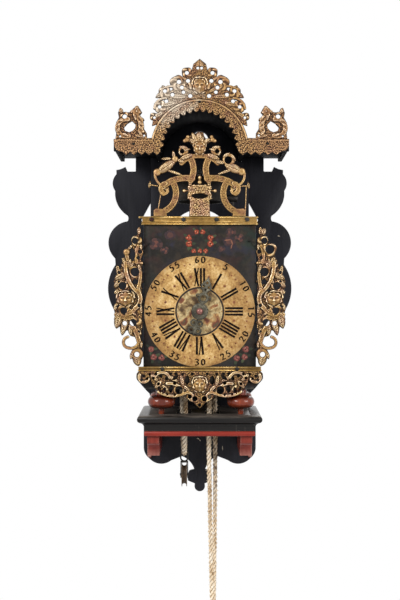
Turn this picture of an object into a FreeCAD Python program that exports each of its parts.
import FreeCAD
import Part
import math
import os

# A chair clock: a bracket clock on a lobed back-board, with a hood above and a shelf below.
# Millimetres. The origin is the hanging hole's centre on the wall face, +Z up, front towards -Y.

# Back-board
BOARD_T = 14.0
PLANK_HALF = 86.0
HANG_HOLE_R = 15.0
WINDOW_R = 54.0
WINDOW_CENTRE_Z = -175.5
WINDOW_SILL_Z = -330.0
APRON_HALF = 98.0
APRON_STEP_Z = -485.0

# Hood
ARCH_Z = -39.0
VAULT_R = 68.0
VAULT_T = 5.0
CURVED_GAP = 0.3
HOOD_FRONT_Y = -188.0
HOOD_BOARD_T = 8.0
EAVE_LEFT = 137.0
EAVE_RIGHT = 142.5
EAVE_TOP_Z = -24.5
EAVE_T = 7.0
HOOD_SIDE_T = 7.0
HOOD_SIDE_DROP = 9.0
HOOD_SIDE_REAR_Y = -28.0
HOOD_FRONT_DROP = 12.0
BAND_T = 3.0
BAND_OUTER_R = 78.0
BAND_ROOT_R = 62.0
TOOTH_DEPTH = 5.0
ARCH_TEETH = 18
EAVE_TEETH = 5
BAND_END = 14.0
CREST_T = 3.0

# Shelf
SHELF_TOP_Z = -465.4
SHELF_T = 33.0
APRON_REVEAL = 16.0
SHELF_HALF = APRON_HALF - APRON_REVEAL
SHELF_DEPTH = 162.0
MOULDING_H = 25.0
MOULDING_OUT = 17.7
BRACKET_SET_IN = 16.6
BRACKET_IN = SHELF_HALF - BRACKET_SET_IN
BRACKET_W = 19.0
BRACKET_FRONT_Y = -BOARD_T - SHELF_DEPTH
CHEEK_OUT = 6.5
CHEEK_DEPTH = 10.0
CHEEK_DROP = 58.0
SLOT_CLEAR = 4.0
SCREW_R = 2.5
SCREW_HEAD_R = 5.0
SCREW_HEAD_T = 2.0

# Movement cage
CAGE_HALF = 87.0
CAGE_REAR_Y = -50.0
PLATE_T = 5.0
BOTTOM_PLATE_Z = -424.0
TOP_PLATE_Z = -157.0
POST_R = 6.0
POST_X = 72.0
POST_INSET = 16.0
FOOT_LEFT = -62.0
FOOT_RIGHT = 66.5
FOOT_R = 22.0
FOOT_STEM_R = 4.4
FOOT_NECK_R = 9.0
BUN_TOP_Z = -434.0
FOOT_STEM_H = 9.4
BAR_HALF = 42.0
BAR_T = 4.0
FRONT_BAR_Y = -160.0
MIDDLE_BAR_Y = -112.0
REAR_BAR_Y = -64.0
EAR_X = 66.0
EAR_HALF = 9.0

# Dial
DIAL_FRONT_Y = -176.0
DIAL_T = 2.0
DIAL_HALF = 90.3
DIAL_TOP_Z = -149.0
DIAL_BOTTOM_Z = -420.0
DIAL_CENTRE_Z = -299.0
STRIP_T = 3.0
TOP_STRIP_HALF = 92.0
TOP_STRIP_TOP_Z = -146.8
TOP_STRIP_H = 13.6
BOTTOM_STRIP_HALF = 98.0
BOTTOM_STRIP_TOP_Z = -387.5
BOTTOM_STRIP_H = 7.0
FRET_T = 3.0

# Wheels: teeth, modules and layers along Y
PRESSURE = math.radians(25.0)
ADDENDUM = 0.8
DEDENDUM = 1.15
BACKLASH = 0.12
GREAT_X = -3.0
GREAT_Z = -366.0
GREAT_TEETH = 72
PINION_TEETH = 12
GREAT_MODULE = 1.25
SECOND_TEETH = 72
SECOND_MODULE = 1.0
THIRD_TEETH = 60
THIRD_MODULE = 0.9
HOUR_TEETH = 72
ESCAPE_TEETH = 45
ESCAPE_R = 18.0
ESCAPE_TOOTH = 3.0
SECOND_X = 27.0
THIRD_X = 3.0
ESCAPE_X = 0.0
ANCHOR_RISE = 30.0
STRIKE_SECOND_X = -33.0
FLY_X = -8.0
FLY_R = 20.0
WHEEL_T = 2.6
PINION_L = 5.0
SEAT = 5.0
PIVOT_R = 1.6
PIVOT_SHOULDER = 0.5
PIVOT_CLEAR = 0.05
LIFT_PINS = 8
LIFT_PIN_CIRCLE = 38.0
LIFT_PIN_R = 1.5
LIFT_PIN_L = 6.0

# Pulleys and rope
ROPE_R = 3.6
GOING_PULLEY_R = 19.0
STRIKE_PULLEY_R = 28.0
PULLEY_RIM = 5.5
PULLEY_W = 13.0
GOING_ROPE_Y = -140.0
STRIKE_ROPE_Y = -88.0

# Bell, hammer and pendulum
BELL_Y = -100.0
BELL_R = 44.0
BELL_T = 3.0
BELL_MOUTH_Z = -117.0
BELL_H = 46.0
BELL_STEM_R = 4.0
HAMMER_X = 58.0
HAMMER_Z = -336.0
HAMMER_HEAD_R = 6.0
HAMMER_GAP = 1.2
HAMMER_SWEEP = 17.0
HAMMER_ARM_W = 4.0
CRUTCH_L = 60.0
PENDULUM_L = 192.0
PENDULUM_SWING = 4.0
PENDULUM_CLEAR = 3.0
PENDULUM_Y = -24.0
ROD_W = 6.0
ROD_T = 1.6
BOB_R = 22.0
BOB_T = 11.0
COCK_Y = -33.0

# Hand
HAND_Y = -182.0
HAND_T = 1.6
HAND_L = 58.0
HAND_TAIL = 42.0
HAND_ANGLE = math.radians(15.0)
HAND_BOSS_R = 13.5
HAND_ARBOR_R = 3.0

# Doors
DOOR_X = 83.5
DOOR_T = 2.0
DOOR_FRONT_Y = -170.0
DOOR_HINGE_Y = -56.0
DOOR_BARREL_R = 3.0
DOOR_PIN_R = 2.0
DOOR_GAP = 0.6

# Hanging pulley block and the ring weight on its loop of rope
LOOP_X = 22.0
LOOP_Y = -114.0
LOOP_Z = -820.0
LOOP_HALF = 24.0
BIGHT_Z = -534.0
BLOCK_X = -25.5
BLOCK_Y = -114.0
RING_WIRE_R = 1.3
RING_IN_HALF = 4.8
RING_IN_H = 16.5
SHEAVE_R = 19.7
SHEAVE_W = 9.0
SHEAVE_GROOVE = 5.0
CHEEK_T = 1.5
CHEEK_W = 9.0
SHEAVE_GAP = 0.4
SHEAVE_PIN_R = 2.0
LEAD_RING_R = 19.0
LEAD_WIRE_R = 7.5

parts = {}


def vec(x, y, z):
    return FreeCAD.Vector(x, y, z)


def box(x0, x1, y0, y1, z0, z1):
    return Part.makeBox(x1 - x0, y1 - y0, z1 - z0, vec(x0, y0, z0))


def rod_x(y, z, r, x0, x1):
    return Part.makeCylinder(r, x1 - x0, vec(x0, y, z), vec(1, 0, 0))


def rod_y(x, z, r, y0, y1):
    return Part.makeCylinder(r, y1 - y0, vec(x, y0, z), vec(0, 1, 0))


def rod_z(x, y, r, z0, z1):
    return Part.makeCylinder(r, z1 - z0, vec(x, y, z0), vec(0, 0, 1))


def wire(points, place):
    """A closed wire from steps: a point is a line's end, a pair of points is an arc's middle and end."""
    edges = []
    here = points[0]
    for step in points[1:] + [points[0]]:
        if isinstance(step[0], tuple):
            middle, end = step
            edges.append(Part.Arc(place(*here), place(*middle), place(*end)).toShape())
        else:
            end = step
            if math.dist(here, end) > 1e-6:
                edges.append(Part.LineSegment(place(*here), place(*end)).toShape())
        here = end
    return Part.Wire(edges)


def slab(points, y0, y1):
    """A flat piece with its outline in the XZ plane."""
    outline = wire(points, lambda x, z: vec(x, y0, z))
    return Part.Face(outline).extrude(vec(0, y1 - y0, 0))


def side_slab(points, x0, x1):
    """A flat piece with its outline in the YZ plane."""
    outline = wire(points, lambda y, z: vec(x0, y, z))
    return Part.Face(outline).extrude(vec(x1 - x0, 0, 0))


def mirrored(shape):
    return shape.mirror(vec(0, 0, 0), vec(1, 0, 0))


def joined(pieces):
    return pieces[0].fuse(pieces[1:]).removeSplitter()


def bow(start, middle, end, width, y0, y1):
    """A band of even width along the arc through three points."""
    centre = Part.Circle(vec(*start, 0), vec(*middle, 0), vec(*end, 0)).Center
    radius = math.dist(start, (centre.x, centre.y))

    def out(point, offset):
        scale = (radius + offset) / radius
        return (centre.x + (point[0] - centre.x) * scale, centre.y + (point[1] - centre.y) * scale)

    half = width / 2
    outer = [out(p, half) for p in (start, middle, end)]
    inner = [out(p, -half) for p in (end, middle, start)]
    band = slab([outer[0], (outer[1], outer[2]), inner[0], (inner[1], inner[2])], y0, y1)
    return band


def lens(start, end, width, y0, y1):
    """A pointed leaf between two points."""
    mid = ((start[0] + end[0]) / 2, (start[1] + end[1]) / 2)
    length = math.dist(start, end)
    across = ((end[1] - start[1]) / length * width / 2, -(end[0] - start[0]) / length * width / 2)
    one = (mid[0] + across[0], mid[1] + across[1])
    two = (mid[0] - across[0], mid[1] - across[1])
    return slab([start, (one, end), (two, start)], y0, y1)


def bar(start, end, width, y0, y1):
    """A straight strip between two points."""
    length = math.dist(start, end)
    a = (end[1] - start[1]) / length * width / 2
    b = -(end[0] - start[0]) / length * width / 2
    corners = [(start[0] + a, start[1] + b), (end[0] + a, end[1] + b)]
    corners += [(end[0] - a, end[1] - b), (start[0] - a, start[1] - b)]
    return slab(corners, y0, y1)


def torus(centre, major, minor, axis):
    return Part.makeTorus(major, minor, centre, axis)


def turned(profile, x, z, y_axis=True):
    """A solid turned about a Y or Z axis; the profile is (radius, place along the axis)."""
    if y_axis:
        outline = wire(profile, lambda r, along: vec(x + r, along, z))
        return Part.Face(outline).revolve(vec(x, 0, z), vec(0, 1, 0), 360)
    outline = wire(profile, lambda r, along: vec(x + r, z, along))
    return Part.Face(outline).revolve(vec(x, z, 0), vec(0, 0, 1), 360)


# Back-board: a central plank with an arched window and two lobed wings glued to its edges

board_front = -BOARD_T
plank_top_r = VAULT_R - CURVED_GAP
half_apron = [
    (APRON_HALF, APRON_STEP_Z), (APRON_HALF, -540.0), ((APRON_HALF - 3.5, -551.0), (APRON_HALF - 10.0, -558.0)),
    ((APRON_HALF - 31.0, -567.4), (50.0, -561.5)), ((40.0, -557.5), (31.0, -554.0)), ((15.0, -566.0), (9.3, -577.5)),
    (18.2, -580.0), ((21.0, -589.0), (20.5, -597.0)), (8.0, -602.0)]
pendant_tip = (0.0, -615.5)


def mirrored_steps(steps):
    """The same outline on the left, walked back from its last point to its first."""
    ends = [step[1] if isinstance(step[0], tuple) else step for step in steps]
    back = [(-ends[-1][0], ends[-1][1])]
    for index in range(len(steps) - 1, 0, -1):
        end = (-ends[index - 1][0], ends[index - 1][1])
        if isinstance(steps[index][0], tuple):
            middle = steps[index][0]
            back.append(((-middle[0], middle[1]), end))
        else:
            back.append(end)
    return back


left_apron = mirrored_steps(half_apron)
eave_under_z = EAVE_TOP_Z - EAVE_T
shoulder_x = VAULT_R + VAULT_T + 0.5
plank_points = [
    (plank_top_r, ARCH_Z), (shoulder_x, ARCH_Z), (shoulder_x, eave_under_z), (PLANK_HALF, eave_under_z),
    (PLANK_HALF, APRON_STEP_Z)]
plank_points += half_apron
plank_points += [(pendant_tip, left_apron[0])]
plank_points += left_apron[1:]
plank_points += [
    (-PLANK_HALF, APRON_STEP_Z), (-PLANK_HALF, eave_under_z), (-shoulder_x, eave_under_z), (-shoulder_x, ARCH_Z),
    (-plank_top_r, ARCH_Z)]
plank_points += [((0.0, ARCH_Z + plank_top_r), (plank_top_r, ARCH_Z))]
plank = slab(plank_points, board_front, 0.0)
window = slab([
    (-WINDOW_R, WINDOW_SILL_Z), (WINDOW_R, WINDOW_SILL_Z), (WINDOW_R, WINDOW_CENTRE_Z),
    ((0.0, WINDOW_CENTRE_Z + WINDOW_R), (-WINDOW_R, WINDOW_CENTRE_Z))], board_front, 0.0)
parts["back_plank"] = plank.cut([window, rod_y(0, 0, HANG_HOLE_R, board_front, 0.0)])

wing_points = [
    (PLANK_HALF, -110.0), (PLANK_HALF, eave_under_z), (112.0, eave_under_z), (112.0, -55.8), (126.5, -55.8), (130.0, -47.5),
    ((138.0, -51.4), (146.0, -53.0)), (145.7, -60.5), ((152.3, -74.5), (148.0, -89.7)),
    ((142.0, -117.0), (126.5, -132.7)), ((124.8, -138.0), (126.5, -143.0)),
    ((159.6, -177.0), (148.0, -208.0)), (147.4, -219.0), ((160.0, -252.0), (146.4, -303.0)),
    ((127.0, -311.0), (113.0, -332.0)), ((103.5, -362.0), (96.5, -392.0)),
    ((99.0, -407.0), (111.5, -416.8)), ((101.0, -430.5), (88.0, -444.5)), (PLANK_HALF, -452.0),
    (PLANK_HALF, -178.0), ((94.5, -158.0), (102.5, -140.0))]
parts["right_wing"] = slab(wing_points, board_front, 0.0)
parts["left_wing"] = mirrored(parts["right_wing"])

# Hood: an arched vault with two flat eaves and side boards behind an arched front board

hood_rear = HOOD_FRONT_Y + HOOD_BOARD_T
vault_outer_r = VAULT_R + VAULT_T


def arch_slab(inner_r, outer_r, y0, y1):
    """The upper half of a flat ring round the hood's arch."""
    return slab([
        (inner_r, ARCH_Z), (outer_r, ARCH_Z), ((0.0, ARCH_Z + outer_r), (-outer_r, ARCH_Z)),
        (-inner_r, ARCH_Z), ((0.0, ARCH_Z + inner_r), (inner_r, ARCH_Z))], y0, y1)


parts["hood_vault"] = arch_slab(VAULT_R, vault_outer_r, hood_rear, 0.0)
vault_cutter = rod_y(0, ARCH_Z, vault_outer_r + CURVED_GAP, hood_rear, 0.0)
parts["right_hood_eave"] = box(0, EAVE_RIGHT, hood_rear, 0.0, eave_under_z, EAVE_TOP_Z).cut(vault_cutter)
parts["left_hood_eave"] = box(-EAVE_LEFT, 0, hood_rear, 0.0, eave_under_z, EAVE_TOP_Z).cut(vault_cutter)
side_z = (eave_under_z - HOOD_SIDE_DROP, eave_under_z)
parts["right_hood_side"] = box(EAVE_RIGHT - HOOD_SIDE_T, EAVE_RIGHT, hood_rear, HOOD_SIDE_REAR_Y, *side_z)
parts["left_hood_side"] = box(-EAVE_LEFT, HOOD_SIDE_T - EAVE_LEFT, hood_rear, HOOD_SIDE_REAR_Y, *side_z)

front_low_z = eave_under_z - HOOD_FRONT_DROP
front_arch = arch_slab(BAND_ROOT_R, BAND_OUTER_R, HOOD_FRONT_Y, hood_rear)
front_hole = rod_y(0, ARCH_Z, BAND_ROOT_R, HOOD_FRONT_Y, hood_rear)
front_right = box(BAND_ROOT_R, EAVE_RIGHT, HOOD_FRONT_Y, hood_rear, front_low_z, EAVE_TOP_Z).cut(front_hole)
front_left = box(-EAVE_LEFT, -BAND_ROOT_R, HOOD_FRONT_Y, hood_rear, front_low_z, EAVE_TOP_Z).cut(front_hole)
parts["hood_front_board"] = joined([front_arch, front_right, front_left])

# Gilt castings of the hood: a toothed band, a pierced crest and two crouching beasts

band_y0 = HOOD_FRONT_Y - BAND_T
tooth_root_z = front_low_z - 2.0
tooth_tip_z = tooth_root_z - TOOTH_DEPTH
tooth_tip_r = BAND_ROOT_R - TOOTH_DEPTH


def arch_point(radius, angle):
    return (radius * math.cos(angle), ARCH_Z + radius * math.sin(angle))



def eave_edge(end):
    """The band's outline on one side, from its top corner along the toothed lower edge to the arch."""
    points = [(end, EAVE_TOP_Z), (end - 0.5, EAVE_TOP_Z - 11.0), (end - 4.0, EAVE_TOP_Z - 18.0)]
    run = end - BAND_END - BAND_ROOT_R
    for tooth in range(EAVE_TEETH):
        points.append((end - BAND_END - tooth * run / EAVE_TEETH, tooth_root_z))
        points.append((end - BAND_END - (tooth + 0.5) * run / EAVE_TEETH, tooth_tip_z))
    return points + [(BAND_ROOT_R, tooth_root_z)]


outline = eave_edge(EAVE_RIGHT)
for tooth in range(ARCH_TEETH):
    outline.append(arch_point(tooth_tip_r, math.pi * (tooth + 0.5) / ARCH_TEETH))
    outline.append(arch_point(BAND_ROOT_R, math.pi * (tooth + 1) / ARCH_TEETH))
outline += [(-x, z) for x, z in reversed(eave_edge(EAVE_LEFT))]
band_foot = math.sqrt(BAND_OUTER_R ** 2 - (EAVE_TOP_Z - ARCH_Z) ** 2)
outline += [(-band_foot, EAVE_TOP_Z), ((0.0, ARCH_Z + BAND_OUTER_R), (band_foot, EAVE_TOP_Z))]
parts["hood_band"] = slab(outline, band_y0, HOOD_FRONT_Y)

crest_y0 = HOOD_FRONT_Y - CREST_T
half_lobes = [(20.3, 81.0, 9.0), (35.0, 64.5, 13.0), (55.5, 49.5, 10.5), (63.0, 27.0, 10.5),
              (73.0, 11.0, 6.8)]
half_holes = [(20.4, 80.7, 2.6), (33.0, 66.4, 2.8), (18.6, 68.0, 2.6), (28.3, 57.5, 2.5), (25.8, 50.0, 2.3)]
half_holes += [(15.0, 44.0, 2.6), (55.4, 51.8, 2.5), (43.3, 46.0, 2.5), (53.0, 35.6, 2.4),
               (63.8, 26.6, 2.3)]
half_holes += [(72.0, 9.5, 1.8), (3.0, 88.4, 1.9)]
half_crest = [rod_y(x, z, r, crest_y0, HOOD_FRONT_Y) for x, z, r in half_lobes]
half_crest.append(lens((52.0, 52.0), (70.5, 41.0), 9.0, crest_y0, HOOD_FRONT_Y))
half_crest.append(lens((54.0, 48.0), (59.5, 61.0), 9.0, crest_y0, HOOD_FRONT_Y))
half_crest.append(slab([
    (0.0, 20.0), (76.0, -4.0), (74.0, 8.0), (60.0, 24.0), (54.0, 46.0), (36.0, 60.0), (22.0, 76.0),
    (13.0, 84.0),
    ((10.0, 95.0), (0.0, 103.0))], crest_y0, HOOD_FRONT_Y))
crest = joined(half_crest + [mirrored(piece) for piece in half_crest])
crest_cuts = [rod_y(0, ARCH_Z, BAND_OUTER_R, crest_y0, HOOD_FRONT_Y)]
crest_cuts += [rod_y(x, z, r, crest_y0, HOOD_FRONT_Y) for x, z, r in half_holes]
crest_cuts += [rod_y(-x, z, r, crest_y0, HOOD_FRONT_Y) for x, z, r in half_holes]
parts["hood_crest"] = crest.cut(crest_cuts)


def beast(end):
    """A crouching beast in one casting, standing on the band near the eave's end."""
    foot = EAVE_TOP_Z
    shape = slab([
        (end - 3.0, foot), (end - 4.6, foot + 13.0), (end - 8.5, foot + 29.0), (end - 8.3, foot + 44.0),
        ((end - 15.0, foot + 41.5), (end - 22.0, foot + 43.5)), ((end - 30.0, foot + 46.5), (end - 35.5,
            foot + 52.0)),
        (end - 39.0, foot + 44.0), (end - 44.0, foot + 43.5), ((end - 42.0, foot + 35.0), (end - 46.5,
            foot + 29.5)),
        ((end - 48.5, foot + 24.0), (end - 46.0, foot + 17.0)), (end - 51.0, foot + 12.0),
        (end - 53.5, foot)],
        crest_y0, HOOD_FRONT_Y)
    ring_hole = slab([
        (end - 37.0, foot + 15.0), ((end - 27.0, foot + 8.5), (end - 17.0, foot + 16.0)),
        ((end - 20.0, foot + 24.0), (end - 27.0, foot + 22.5)), ((end - 34.0, foot + 24.0), (end - 37.0,
            foot + 15.0))],
        crest_y0, HOOD_FRONT_Y)
    tail_hole = rod_y(end - 17.4, foot + 32.5, 3.2, crest_y0, HOOD_FRONT_Y)
    return shape.cut([ring_hole, tail_hole])


parts["right_beast"] = beast(EAVE_RIGHT)
parts["left_beast"] = mirrored(beast(EAVE_LEFT))

# Shelf: a thick board with a mitred moulding, a red bead under it and two shaped brackets

shelf_front = board_front - SHELF_DEPTH
shelf_low = SHELF_TOP_Z - SHELF_T
going_left = GREAT_X - GOING_PULLEY_R
going_right = GREAT_X + GOING_PULLEY_R
strike_left = GREAT_X - STRIKE_PULLEY_R
strike_right = GREAT_X + STRIKE_PULLEY_R


def rope_slots(z0, z1):
    """The two slots that a pair of rope strands passes through."""
    reach = ROPE_R + SLOT_CLEAR
    y0 = GOING_ROPE_Y - reach
    y1 = STRIKE_ROPE_Y + reach
    left = box(strike_left - reach, going_left + reach, y0, y1, z0, z1)
    right = box(going_right - reach, strike_right + reach, y0, y1, z0, z1)
    return [left, right]


shelf = box(-SHELF_HALF, SHELF_HALF, shelf_front, board_front, shelf_low, SHELF_TOP_Z)
parts["shelf_board"] = shelf.cut(rope_slots(shelf_low, SHELF_TOP_Z))


def edging(profile):
    """A moulding round the shelf's two sides and front, mitred at its corners."""
    path = Part.makePolygon([
        vec(-SHELF_HALF, board_front, SHELF_TOP_Z), vec(-SHELF_HALF, shelf_front, SHELF_TOP_Z),
        vec(SHELF_HALF, shelf_front, SHELF_TOP_Z), vec(SHELF_HALF, board_front, SHELF_TOP_Z)])
    section = wire(profile, lambda out, z: vec(-SHELF_HALF - out, board_front, z))
    return path.makePipeShell([section], True, False, 1)


moulding_low = SHELF_TOP_Z - MOULDING_H
parts["shelf_moulding"] = edging([
    (0.0, SHELF_TOP_Z), (MOULDING_OUT - 4.8, SHELF_TOP_Z),
    ((MOULDING_OUT, SHELF_TOP_Z - 6.2), (MOULDING_OUT - 4.5, SHELF_TOP_Z - 11.5)),
    ((MOULDING_OUT - 8.6, SHELF_TOP_Z - 14.0), (MOULDING_OUT - 10.5, SHELF_TOP_Z - 18.5)),
    (MOULDING_OUT - 10.5, moulding_low), (0.0, moulding_low)])
bead_out = MOULDING_OUT - 10.5
bead_mid = (moulding_low + shelf_low) / 2
parts["shelf_bead"] = edging([
    (0.0, moulding_low), (bead_out - 1.5, moulding_low),
    ((bead_out, bead_mid), (bead_out - 1.5, shelf_low)),
    (0.0, shelf_low)])

bracket_points = [
    (board_front, shelf_low), (BRACKET_FRONT_Y, shelf_low), (BRACKET_FRONT_Y, shelf_low - 11.0),
    ((BRACKET_FRONT_Y + 3.0, shelf_low - 14.0), (BRACKET_FRONT_Y + 8.0, shelf_low - 15.0)),
    (BRACKET_FRONT_Y + 24.0, shelf_low - 15.0),
    ((BRACKET_FRONT_Y + 33.0, shelf_low - 24.0), (BRACKET_FRONT_Y + 36.0, shelf_low - 37.0)),
    (board_front, shelf_low - 37.0)]
bracket_out = BRACKET_IN + BRACKET_W
cheek_front_y = board_front - CHEEK_DEPTH
bracket_cheek = side_slab([
    (board_front, shelf_low), (cheek_front_y, shelf_low), (cheek_front_y, shelf_low - CHEEK_DROP + 4.0),
    (board_front, shelf_low - CHEEK_DROP)], bracket_out, bracket_out + CHEEK_OUT)
parts["right_bracket"] = joined([side_slab(bracket_points, BRACKET_IN, bracket_out), bracket_cheek])
parts["left_bracket"] = mirrored(parts["right_bracket"])

# Movement cage: two iron plates on turned posts, three upright bars and four turned bun feet

dial_back = DIAL_FRONT_Y + DIAL_T
cage_low = BOTTOM_PLATE_Z + PLATE_T
cage_high = TOP_PLATE_Z
foot_low = SHELF_TOP_Z
bun_low = foot_low + FOOT_STEM_H
bun_mid = (bun_low + BUN_TOP_Z) / 2
post_front_y = dial_back + POST_INSET
post_rear_y = CAGE_REAR_Y - POST_INSET
feet = []
posts = []
for foot_x in (FOOT_LEFT, FOOT_RIGHT):
    for foot_y in (post_front_y, post_rear_y):
        feet.append(turned([
            (0.0, foot_low), (FOOT_STEM_R, foot_low), (FOOT_STEM_R, bun_low - 1.5),
            ((FOOT_STEM_R + 0.5, bun_low - 0.4), (FOOT_STEM_R + 1.5, bun_low)),
            (FOOT_R - 8.0, bun_low + 1.0), ((FOOT_R, bun_mid), (FOOT_R - 8.0, BUN_TOP_Z - 1.5)),
            (FOOT_NECK_R, BUN_TOP_Z), (FOOT_NECK_R, BOTTOM_PLATE_Z), (0.0, BOTTOM_PLATE_Z)],
            foot_x, foot_y, y_axis=False))
for post_x in (-POST_X, POST_X):
    for post_y in (post_front_y, post_rear_y):
        post_mid = (cage_low + cage_high) / 2
        posts.append(turned([
            (0.0, cage_low), (POST_R + 1.5, cage_low), (POST_R + 1.5, cage_low + 6.0),
            (POST_R - 1.0, cage_low + 12.0),
            (POST_R - 1.0, post_mid - 10.0), (POST_R + 1.0, post_mid), (POST_R - 1.0, post_mid + 10.0),
            (POST_R - 1.0, cage_high - 12.0), (POST_R + 1.5, cage_high - 6.0), (POST_R + 1.5, cage_high),
            (0.0, cage_high)], post_x, post_y, y_axis=False))
parts["bun_feet"] = Part.makeCompound(feet)
parts["corner_posts"] = Part.makeCompound(posts)

hinge_hole_r = DOOR_PIN_R + PIVOT_CLEAR
hinges = [rod_z(x, DOOR_HINGE_Y, hinge_hole_r, BOTTOM_PLATE_Z, TOP_PLATE_Z + PLATE_T) for x in (-DOOR_X,
    DOOR_X)]
top_plate_high = TOP_PLATE_Z + PLATE_T
bottom_plate = box(-CAGE_HALF, CAGE_HALF, dial_back, CAGE_REAR_Y, BOTTOM_PLATE_Z, cage_low)
parts["bottom_plate"] = bottom_plate.cut(rope_slots(BOTTOM_PLATE_Z, cage_low) + hinges)
head_z = BELL_MOUTH_Z + 6.0
head_x0 = BELL_R + HAMMER_GAP
arm_x = head_x0 + 10.0
arm_share = (TOP_PLATE_Z - HAMMER_Z) / (head_z - HAMMER_Z)
arm_at_plate = HAMMER_X + (arm_x - HAMMER_X) * arm_share
hammer_slot = box(
    arm_at_plate - HAMMER_ARM_W, arm_at_plate + HAMMER_ARM_W + HAMMER_SWEEP, BELL_Y - HAMMER_ARM_W,
    BELL_Y + HAMMER_ARM_W, TOP_PLATE_Z, top_plate_high)
stand_hole = rod_z(0, BELL_Y, BELL_STEM_R, TOP_PLATE_Z, top_plate_high)
top_plate = box(-CAGE_HALF, CAGE_HALF, dial_back, CAGE_REAR_Y, TOP_PLATE_Z, top_plate_high)
parts["top_plate"] = top_plate.cut(hinges + [hammer_slot, stand_hole])

# Places of the wheels' arbors


def mesh_distance(wheel, pinion, module):
    return (wheel + pinion) * module / 2


def arbor_above(x, z, distance, next_x):
    """The next arbor's height, where its X and its distance are given."""
    return z + math.sqrt(distance ** 2 - (next_x - x) ** 2)


great_distance = mesh_distance(GREAT_TEETH, PINION_TEETH, GREAT_MODULE)
second_distance = mesh_distance(SECOND_TEETH, PINION_TEETH, SECOND_MODULE)
third_distance = mesh_distance(THIRD_TEETH, PINION_TEETH, THIRD_MODULE)
second_z = arbor_above(GREAT_X, GREAT_Z, great_distance, SECOND_X)
third_z = arbor_above(SECOND_X, second_z, second_distance, THIRD_X)
escape_z = arbor_above(THIRD_X, third_z, third_distance, ESCAPE_X)
anchor_z = escape_z + ANCHOR_RISE
strike_second_z = arbor_above(GREAT_X, GREAT_Z, great_distance, STRIKE_SECOND_X)
fly_z = arbor_above(STRIKE_SECOND_X, strike_second_z, third_distance, FLY_X)
hour_module = 2 * math.dist((GREAT_X, GREAT_Z), (0.0, DIAL_CENTRE_Z)) / (HOUR_TEETH + PINION_TEETH)

# Upright bars, with the pivot holes of the arbors between them

front_pivots = [(SECOND_X, second_z), (THIRD_X, third_z), (ESCAPE_X, escape_z), (ESCAPE_X, anchor_z)]
front_pivots.append((0.0, DIAL_CENTRE_Z))
middle_pivots = [(GREAT_X, GREAT_Z), (SECOND_X, second_z), (THIRD_X, third_z), (ESCAPE_X, escape_z)]
middle_pivots += [(STRIKE_SECOND_X, strike_second_z), (FLY_X, fly_z), (HAMMER_X, HAMMER_Z)]
rear_pivots = [(GREAT_X, GREAT_Z), (STRIKE_SECOND_X, strike_second_z), (FLY_X, fly_z), (HAMMER_X, HAMMER_Z)]
pivot_hole_r = PIVOT_R + PIVOT_CLEAR
great_front_r = SEAT / 2
anchor_pass_r = SEAT / 2 + 2.0


def upright(y0, pivots, wide_holes, ear):
    """An upright bar of the cage with its pivot holes and, if asked, an ear for the hammer's arbor."""
    y1 = y0 + BAR_T
    shape = box(-BAR_HALF, BAR_HALF, y0, y1, cage_low, cage_high)
    if ear:
        shape = joined([shape, box(0, EAR_X, y0, y1, HAMMER_Z - EAR_HALF, HAMMER_Z + EAR_HALF)])
    cuts = [rod_y(x, z, pivot_hole_r, y0, y1) for x, z in pivots]
    cuts += [rod_y(x, z, r, y0, y1) for x, z, r in wide_holes]
    return shape.cut(cuts)


great_front_hole = (GREAT_X, GREAT_Z, great_front_r + PIVOT_CLEAR)
parts["front_bar"] = upright(FRONT_BAR_Y, front_pivots, [great_front_hole], False)
parts["middle_bar"] = upright(MIDDLE_BAR_Y, middle_pivots, [(ESCAPE_X, anchor_z, anchor_pass_r)], True)
parts["rear_bar"] = upright(REAR_BAR_Y, rear_pivots, [(ESCAPE_X, anchor_z, anchor_pass_r)], True)

# Toothed wheels: involute teeth, square seats and straight-sided crossings


def involute(angle):
    return math.tan(angle) - angle


def tooth_half_angle(radius, teeth, module):
    """Half a tooth's angle at a radius, thinned by the backlash."""
    pitch_r = teeth * module / 2
    base_r = pitch_r * math.cos(PRESSURE)
    at_pitch = math.pi / (2 * teeth) - BACKLASH / (2 * pitch_r)
    return at_pitch + involute(PRESSURE) - involute(math.acos(min(1.0, base_r / max(radius, base_r))))


def ring_point(x, z, radius, angle):
    return (x + radius * math.cos(angle), z + radius * math.sin(angle))


def toothed_points(x, z, teeth, module, phase):
    pitch_r = teeth * module / 2
    root_r = pitch_r - DEDENDUM * module
    tip_r = pitch_r + ADDENDUM * module
    base_r = max(root_r, pitch_r * math.cos(PRESSURE))
    steps = [root_r, base_r] if base_r > root_r + 0.05 else [root_r]
    steps += [pitch_r, tip_r]
    points = []
    for tooth in range(teeth):
        centre = phase + 2 * math.pi * tooth / teeth
        rising = [(r, -tooth_half_angle(r, teeth, module)) for r in steps]
        falling = [(r, -angle) for r, angle in reversed(rising)]
        points += [ring_point(x, z, r, centre + angle) for r, angle in rising + falling]
    return points


def square_points(x, z, side):
    h = side / 2
    return [(x - h, z - h), (x + h, z - h), (x + h, z + h), (x - h, z + h)]


def crossings(x, z, rim_r, y0, y1):
    """Four openings between the arms of a wheel."""
    hub_r = SEAT
    arm = 3.0
    cuts = []
    for quarter in range(4):
        start = quarter * math.pi / 2
        lean = math.asin(arm / rim_r)
        spread = [start + lean + (math.pi / 2 - 2 * lean) * k / 4 for k in range(5)]
        inner_lean = math.asin(arm / (hub_r + arm))
        inner = [start + math.pi / 2 - inner_lean, start + inner_lean]
        points = [ring_point(x, z, rim_r, a) for a in spread] + [ring_point(x, z, hub_r + arm,
            a) for a in inner]
        cuts.append(slab(points, y0, y1))
    return cuts


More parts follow.
